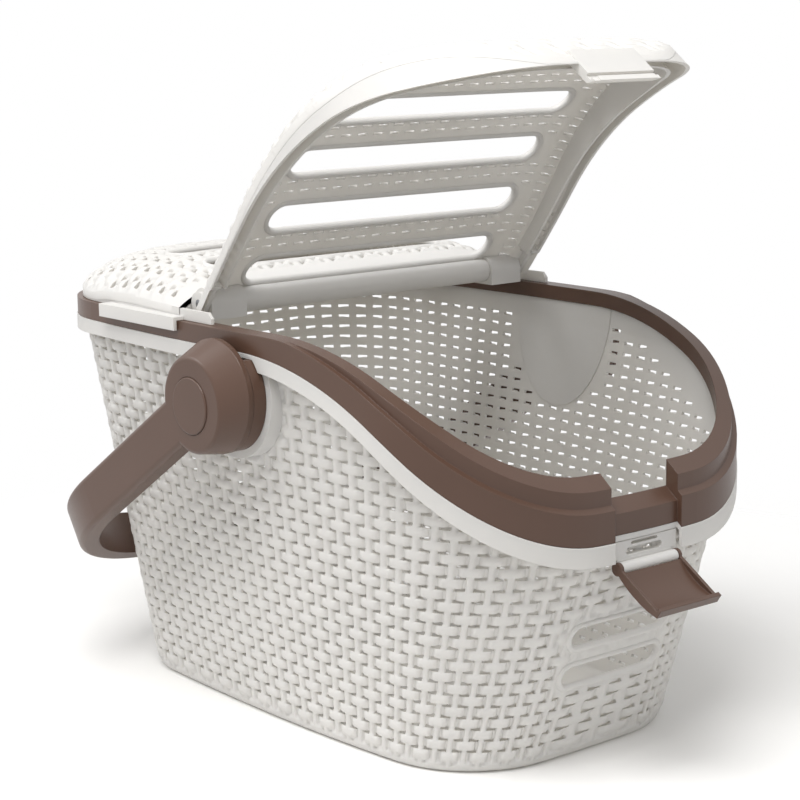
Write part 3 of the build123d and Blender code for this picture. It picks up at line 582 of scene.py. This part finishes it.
# ---- What stays of the solids under the woven pieces
def without(name, node, body, drop_faces):
    """Copy of a CAD node with some of its faces left out."""
    source = frame["nodes"][node].data
    points = np.empty(len(source.vertices) * 3)
    source.vertices.foreach_get("co", points)
    points = points.reshape(-1, 3) / MM
    corners = np.empty(len(source.loops), int)
    source.loops.foreach_get("vertex_index", corners)
    triangles = corners.reshape(-1, 3)
    triangles = triangles[~drop_faces(points[triangles])]
    return add_piece(name, points, triangles, body, node, merge=0.01, smooth=30)


def normals_of(corners):
    """Unit directions square to triangles."""
    out = np.cross(corners[:, 1] - corners[:, 0], corners[:, 2] - corners[:, 0])
    return out / np.maximum(np.linalg.norm(out, axis=1, keepdims=True), 1e-12)


def wall_depth(points):
    """How far points stand outside the basket's wall, from a first guess by bearing and three steps along
    the wall."""
    bearing = np.unwrap(np.arctan2(MIDDLE_LOOP[:, 1], MIDDLE_LOOP[:, 0]))
    around = np.interp(np.arctan2(points[:, 1], points[:, 0]) % (2 * math.pi), bearing, AROUND)
    zero = np.zeros(len(points))
    for _ in range(3):
        base = wall_point(around % 1.0, points[:, 2], zero)[:, :2]
        ahead = wall_point((around + BEARING_STEP) % 1.0, points[:, 2], zero)[:, :2] - base
        along = ((points[:, :2] - base) * ahead).sum(1) / (ahead**2).sum(1)
        around = around + BEARING_STEP * along
    out = np.stack((ahead[:, 1], -ahead[:, 0]), 1)
    return ((points[:, :2] - base) * out).sum(1) / np.linalg.norm(out, axis=1)


def basket_wall_faces(corners):
    """Outer and inner wall faces of the basket, and all around its vents."""
    x, y, z = corners[..., 0], corners[..., 1], corners[..., 2]
    depth = wall_depth(corners.reshape(-1, 3)).reshape(-1, 3)
    close = (np.abs(depth) < WALL_CLOSE).all(1) | (np.abs(depth + WALL_THICKNESS) < WALL_CLOSE).all(1)
    wall = close & (np.abs(normals_of(corners)[:, 2]) < WALL_UPRIGHT) & (z.min(1) > FOOT_TOP - FOOT_MARGIN)
    vents = (x.min(1) > VENT_START) & (np.abs(y).max(1) < VENT_SIDE)
    return wall | (vents & (z.min(1) > VENT_RANGE[0]) & (z.max(1) < VENT_RANGE[1]))


def roof_faces(corners, height, windows, half):
    """Faces of a roof, outer and inner, and all around its windows."""
    x, y, z = corners[..., 0], corners[..., 1], corners[..., 2]
    outer = (np.abs(z - height(x, y)) < ROOF_CLOSE).all(1)
    inner = (np.abs(z - height(x, y, ROOF_INSET) + ROOF_THICKNESS) < ROOF_CLOSE).all(1)
    gone = (outer | inner) & (np.abs(normals_of(corners)[:, 2]) > ROOF_LEVEL)
    for middle in windows:
        _, _, inside, _ = slot_push(y, x, 0.0, middle, half + WINDOW_MARGIN, WINDOW_RADIUS + WINDOW_MARGIN)
        gone |= inside.all(1)
    return gone


def lid_roof_faces(corners):
    """Roof faces of the open lid, found where they are when it is closed."""
    return roof_faces(turned(corners, -LID_OPENING), lid_height, LID_WINDOWS, LID_WINDOW_HALF)


def cover_roof_faces(corners):
    """Roof faces of the fixed cover."""
    return roof_faces(corners, cover_height, COVER_WINDOWS, COVER_WINDOW_HALF)


basket_pieces = basket_wall()
basket_pieces += [shield("basket_shield_left", 1), shield("basket_shield_right", -1)]
basket_pieces.append(without("basket_frame", "basket", "carrier", basket_wall_faces))
for number, height in enumerate(VENT_HEIGHTS, 1):
    basket_pieces.append(slot_trim(f"vent_frame_{number}", "carrier", "basket", front_place, height,
                                   VENT_HALF, VENT_RADIUS, VENT_TRIM))

lid_pieces = [
    roof_sheet("lid_roof", "lid", "front_lid", lid_height, LID_FRONT, 0.0, (HINGE_X, LID_FRONT[0]),
               LID_WINDOWS, LID_WINDOW_HALF, LID_PHASE, LID_PLAIN, lid_seat, opened),
    without("lid_frame", "front_lid", "lid", lid_roof_faces),
]
for number, middle in enumerate(LID_WINDOWS, 1):
    lid_pieces.append(slot_trim(f"lid_window_trim_{number}", "lid", "front_lid", roof_place(lid_height),
                                middle, LID_WINDOW_HALF, WINDOW_RADIUS, WINDOW_TRIM, opened))

cover_pieces = [
    roof_sheet("cover_roof", "carrier", "rear_cover", cover_height, RIM_REAR, COVER_INSET,
               (COVER_REAR, COVER_FRONT), COVER_WINDOWS, COVER_WINDOW_HALF, COVER_PHASE, COVER_PLAIN,
               cover_seat),
    without("cover_frame", "rear_cover", "carrier", cover_roof_faces),
]
for number, middle in enumerate(COVER_WINDOWS, 1):
    cover_pieces.append(slot_trim(f"cover_window_trim_{number}", "carrier", "rear_cover",
                                  roof_place(cover_height), middle, COVER_WINDOW_HALF, WINDOW_RADIUS,
                                  WINDOW_TRIM))


# ---- Materials
def linear(hex_colour):
    """Linear colour of a written sRGB colour."""
    parts = [int(hex_colour[k:k + 2], 16) / 255 for k in (1, 3, 5)]
    return tuple(p / 12.92 if p <= 0.04045 else ((p + 0.055) / 1.055)**2.4 for p in parts) + (1.0,)


def add_node(tree, kind, settings=None, inputs=None):
    """Adds a node, sets its values, and joins its inputs: a value, or an output of another node."""
    made = tree.nodes.new(kind)
    for key, value in (settings or {}).items():
        setattr(made, key, value)
    for key, value in (inputs or {}).items():
        if isinstance(value, bpy.types.NodeSocket):
            tree.links.new(value, made.inputs[key])
        else:
            made.inputs[key].default_value = value
    return made


def new_material(name):
    """Material with a node tree: the material, the tree, its shader and the place on the object."""
    material = bpy.data.materials.new(name)
    material.use_nodes = True
    tree = material.node_tree
    place = add_node(tree, "ShaderNodeTexCoord").outputs["Object"]
    return material, tree, tree.nodes["Principled BSDF"], place


def tint(tree, shader, marks, shade, colour):
    """Mixes two colours by marks into the shader's base colour. Inputs 0, 6 and 7 of a colour mix are its
    share and its two colours, and output 2 is the result."""
    tone = add_node(tree, "ShaderNodeMix", {"data_type": "RGBA"})
    tree.links.new(marks.outputs["Fac"], tone.inputs[0])
    tone.inputs[6].default_value = linear(shade)
    tone.inputs[7].default_value = linear(colour)
    tree.links.new(tone.outputs[2], shader.inputs["Base Color"])


def blend_to_surface(tree, share, first, second):
    """Mixes two shaders by a share and puts the result on the surface."""
    blend = add_node(tree, "ShaderNodeMixShader", inputs={0: share})
    tree.links.new(first.outputs["BSDF"], blend.inputs[1])
    tree.links.new(second.outputs["BSDF"], blend.inputs[2])
    tree.links.new(blend.outputs["Shader"], tree.nodes["Material Output"].inputs["Surface"])


def moulded_plastic(name, colour, shade, roughness, grain, depth, edge, passing=0.0):
    """Injection-moulded polypropylene: an even colour with a faint cloudiness, a fine spark-eroded grain
    that breaks up the gloss, and softly rounded edges. Some of the light passes through the thin cream
    walls, which warms the inside."""
    material, tree, shader, place = new_material(name)
    cloud = add_node(tree, "ShaderNodeTexNoise", inputs={"Vector": place, "Scale": 18.0, "Detail": 3.0})
    tint(tree, shader, cloud, shade, colour)
    fine = add_node(tree, "ShaderNodeTexNoise", inputs={"Vector": place, "Scale": grain, "Detail": 2.0})
    gloss = add_node(tree, "ShaderNodeMapRange", inputs={
        "Value": fine.outputs["Fac"], "From Min": 0.3, "From Max": 0.7, "To Min": roughness - 0.05,
        "To Max": roughness + 0.06})
    tree.links.new(gloss.outputs["Result"], shader.inputs["Roughness"])
    round_edge = add_node(tree, "ShaderNodeBevel", {"samples": 4}, {"Radius": edge * MM})
    bump = add_node(tree, "ShaderNodeBump", inputs={
        "Height": fine.outputs["Fac"], "Strength": 0.25, "Distance": depth * MM,
        "Normal": round_edge.outputs["Normal"]})
    tree.links.new(bump.outputs["Normal"], shader.inputs["Normal"])
    shader.inputs["IOR"].default_value = 1.49
    if passing:
        through = add_node(tree, "ShaderNodeBsdfTranslucent", inputs={"Color": linear("#FAF5EA")})
        blend_to_surface(tree, passing, shader, through)
    return material


def plated_steel(name):
    """Zinc-plated steel: a grey metal with a soft gloss and small cloudy marks in its tone."""
    material, tree, shader, place = new_material(name)
    marks = add_node(tree, "ShaderNodeTexNoise", inputs={"Vector": place, "Scale": 900.0, "Detail": 2.0})
    tint(tree, shader, marks, "#8F9194", "#B6B8BB")
    shader.inputs["Metallic"].default_value = 1.0
    shader.inputs["Roughness"].default_value = 0.35
    return material


# Cream polypropylene looks bright and satin, and glows a little where it is thin.
cream = moulded_plastic("cream_polypropylene", "#E4E3E2", "#DBDAD8", roughness=0.42, grain=1500.0, depth=0.05,
                        edge=0.5, passing=0.25)
# Brown polypropylene looks dense and slightly glossier, with wider highlights along its rounded edges.
brown = moulded_plastic("brown_polypropylene", "#573F33", "#4F392D", roughness=0.36, grain=1400.0, depth=0.06,
                        edge=0.8)
# Zinc-plated steel gives the hidden pins, screws and springs a dull grey shine.
steel = plated_steel("zinc_plated_steel")


def dress(piece, material):
    """Gives a piece one material, in place of those it had."""
    piece.data.materials.clear()
    piece.data.materials.append(material)


for piece in basket_pieces + lid_pieces + cover_pieces:
    dress(piece, cream)

finishes = {"cream_plastic": cream, "brown_plastic": brown, "steel": steel}
slots = {part["node"]: part["material_slot"] for part in frame["record"]["subparts"]}
for node, piece in frame["nodes"].items():
    dress(piece, finishes[slots[node]])


# ---- Floor, light and camera, in metres
FLOOR_HALF = 4.0
FLOOR_FADE = (0.32, 0.75)
SOFT_LIGHT = 0.58
WHITE = (1.0, 1.0, 1.0, 1.0)

# Each lamp: name, place, target, size and power in watts
LAMPS = (
    ("lamp_above", (0.4, -0.7, 1.85), (0.1, 0.1, 0.15), 1.1, 31.0),
    ("lamp_front", (1.9, -1.3, 1.1), (0.0, 0.0, 0.2), 1.2, 3.0),
    ("lamp_side", (-1.45, -1.5, 1.5), (0.0, 0.0, 0.2), 0.9, 14.0),
)

CAMERA_TURN = math.radians(50.02)
CAMERA_LIFT = math.radians(10.79)
CAMERA_ROLL = math.radians(-0.54)
CAMERA_TARGET = (-0.00016, 0.0, 0.21921)
CAMERA_DISTANCE = 1.56267
SENSOR_WIDTH = 36.0
LENS = 94.248


def floor():
    """Wide pale floor, matt painted board, that fades into the white ground and takes the soft shadow."""
    h = FLOOR_HALF
    mesh = bpy.data.meshes.new("floor")
    mesh.from_pydata([(-h, -h, 0), (h, -h, 0), (h, h, 0), (-h, h, 0)], [], [(0, 1, 2, 3)])
    piece = bpy.data.objects.new("floor", mesh)
    bpy.context.scene.collection.objects.link(piece)
    material, tree, shader, place = new_material("pale_floor")
    shader.inputs["Base Color"].default_value = linear("#F7F6F4")
    shader.inputs["Roughness"].default_value = 0.8
    shader.inputs["Specular IOR Level"].default_value = 0.1
    reach = add_node(tree, "ShaderNodeVectorMath", {"operation": "LENGTH"}, {0: place})
    away = add_node(tree, "ShaderNodeMapRange", inputs={
        "Value": reach.outputs["Value"], "From Min": FLOOR_FADE[0], "From Max": FLOOR_FADE[1], "To Min": 0.0,
        "To Max": 1.0})
    clear = add_node(tree, "ShaderNodeBsdfTransparent")
    blend_to_surface(tree, away.outputs["Result"], shader, clear)
    mesh.materials.append(material)


def area_light(name, place, target, size, power):
    """Soft square lamp that points at a place."""
    lamp = bpy.data.lights.new(name, "AREA")
    lamp.shape = "SQUARE"
    lamp.size = size
    lamp.energy = power
    piece = bpy.data.objects.new(name, lamp)
    bpy.context.scene.collection.objects.link(piece)
    back = (Vector(place) - Vector(target)).normalized()
    piece.matrix_world = Matrix.Translation(place) @ back.to_track_quat("Z", "Y").to_matrix().to_4x4()


def white_ground():
    """White surroundings: dimmer as a light than they look to the camera, in gloss and through gaps."""
    world = bpy.data.worlds.new("white_ground")
    bpy.context.scene.world = world
    world.use_nodes = True
    tree = world.node_tree
    soft = tree.nodes["Background"]
    soft.inputs["Color"].default_value = WHITE
    soft.inputs["Strength"].default_value = SOFT_LIGHT
    white = add_node(tree, "ShaderNodeBackground", inputs={"Color": WHITE, "Strength": 1.0})
    path = add_node(tree, "ShaderNodeLightPath")
    seen = path.outputs["Is Camera Ray"]
    for ray in ("Is Glossy Ray", "Is Transmission Ray"):
        either = add_node(tree, "ShaderNodeMath", {"operation": "MAXIMUM"}, {0: seen, 1: path.outputs[ray]})
        seen = either.outputs["Value"]
    mix = add_node(tree, "ShaderNodeMixShader", inputs={0: seen})
    tree.links.new(soft.outputs["Background"], mix.inputs[1])
    tree.links.new(white.outputs["Background"], mix.inputs[2])
    tree.links.new(mix.outputs["Shader"], tree.nodes["World Output"].inputs["Surface"])


def camera():
    """Camera at the photograph's angle, with its slight roll."""
    turn, lift, roll = CAMERA_TURN, CAMERA_LIFT, CAMERA_ROLL
    back = Vector((math.sin(turn) * math.cos(lift), -math.cos(turn) * math.cos(lift), math.sin(lift)))
    right = Vector((math.cos(turn), math.sin(turn), 0.0))
    up = back.cross(right)
    right, up = right * math.cos(roll) + up * math.sin(roll), up * math.cos(roll) - right * math.sin(roll)
    lens = bpy.data.cameras.new("camera")
    lens.sensor_width = SENSOR_WIDTH
    lens.lens = LENS
    eye = bpy.data.objects.new("camera", lens)
    bpy.context.scene.collection.objects.link(eye)
    place = Vector(CAMERA_TARGET) + back * CAMERA_DISTANCE
    eye.matrix_world = Matrix.Translation(place) @ Matrix((right, up, back)).transposed().to_4x4()
    bpy.context.scene.camera = eye


floor()
for name, place, target, size, power in LAMPS:
    area_light(name, place, target, size, power)
white_ground()
bpy.context.scene.view_settings.view_transform = "Standard"
camera()

bpy.context.view_layer.update()
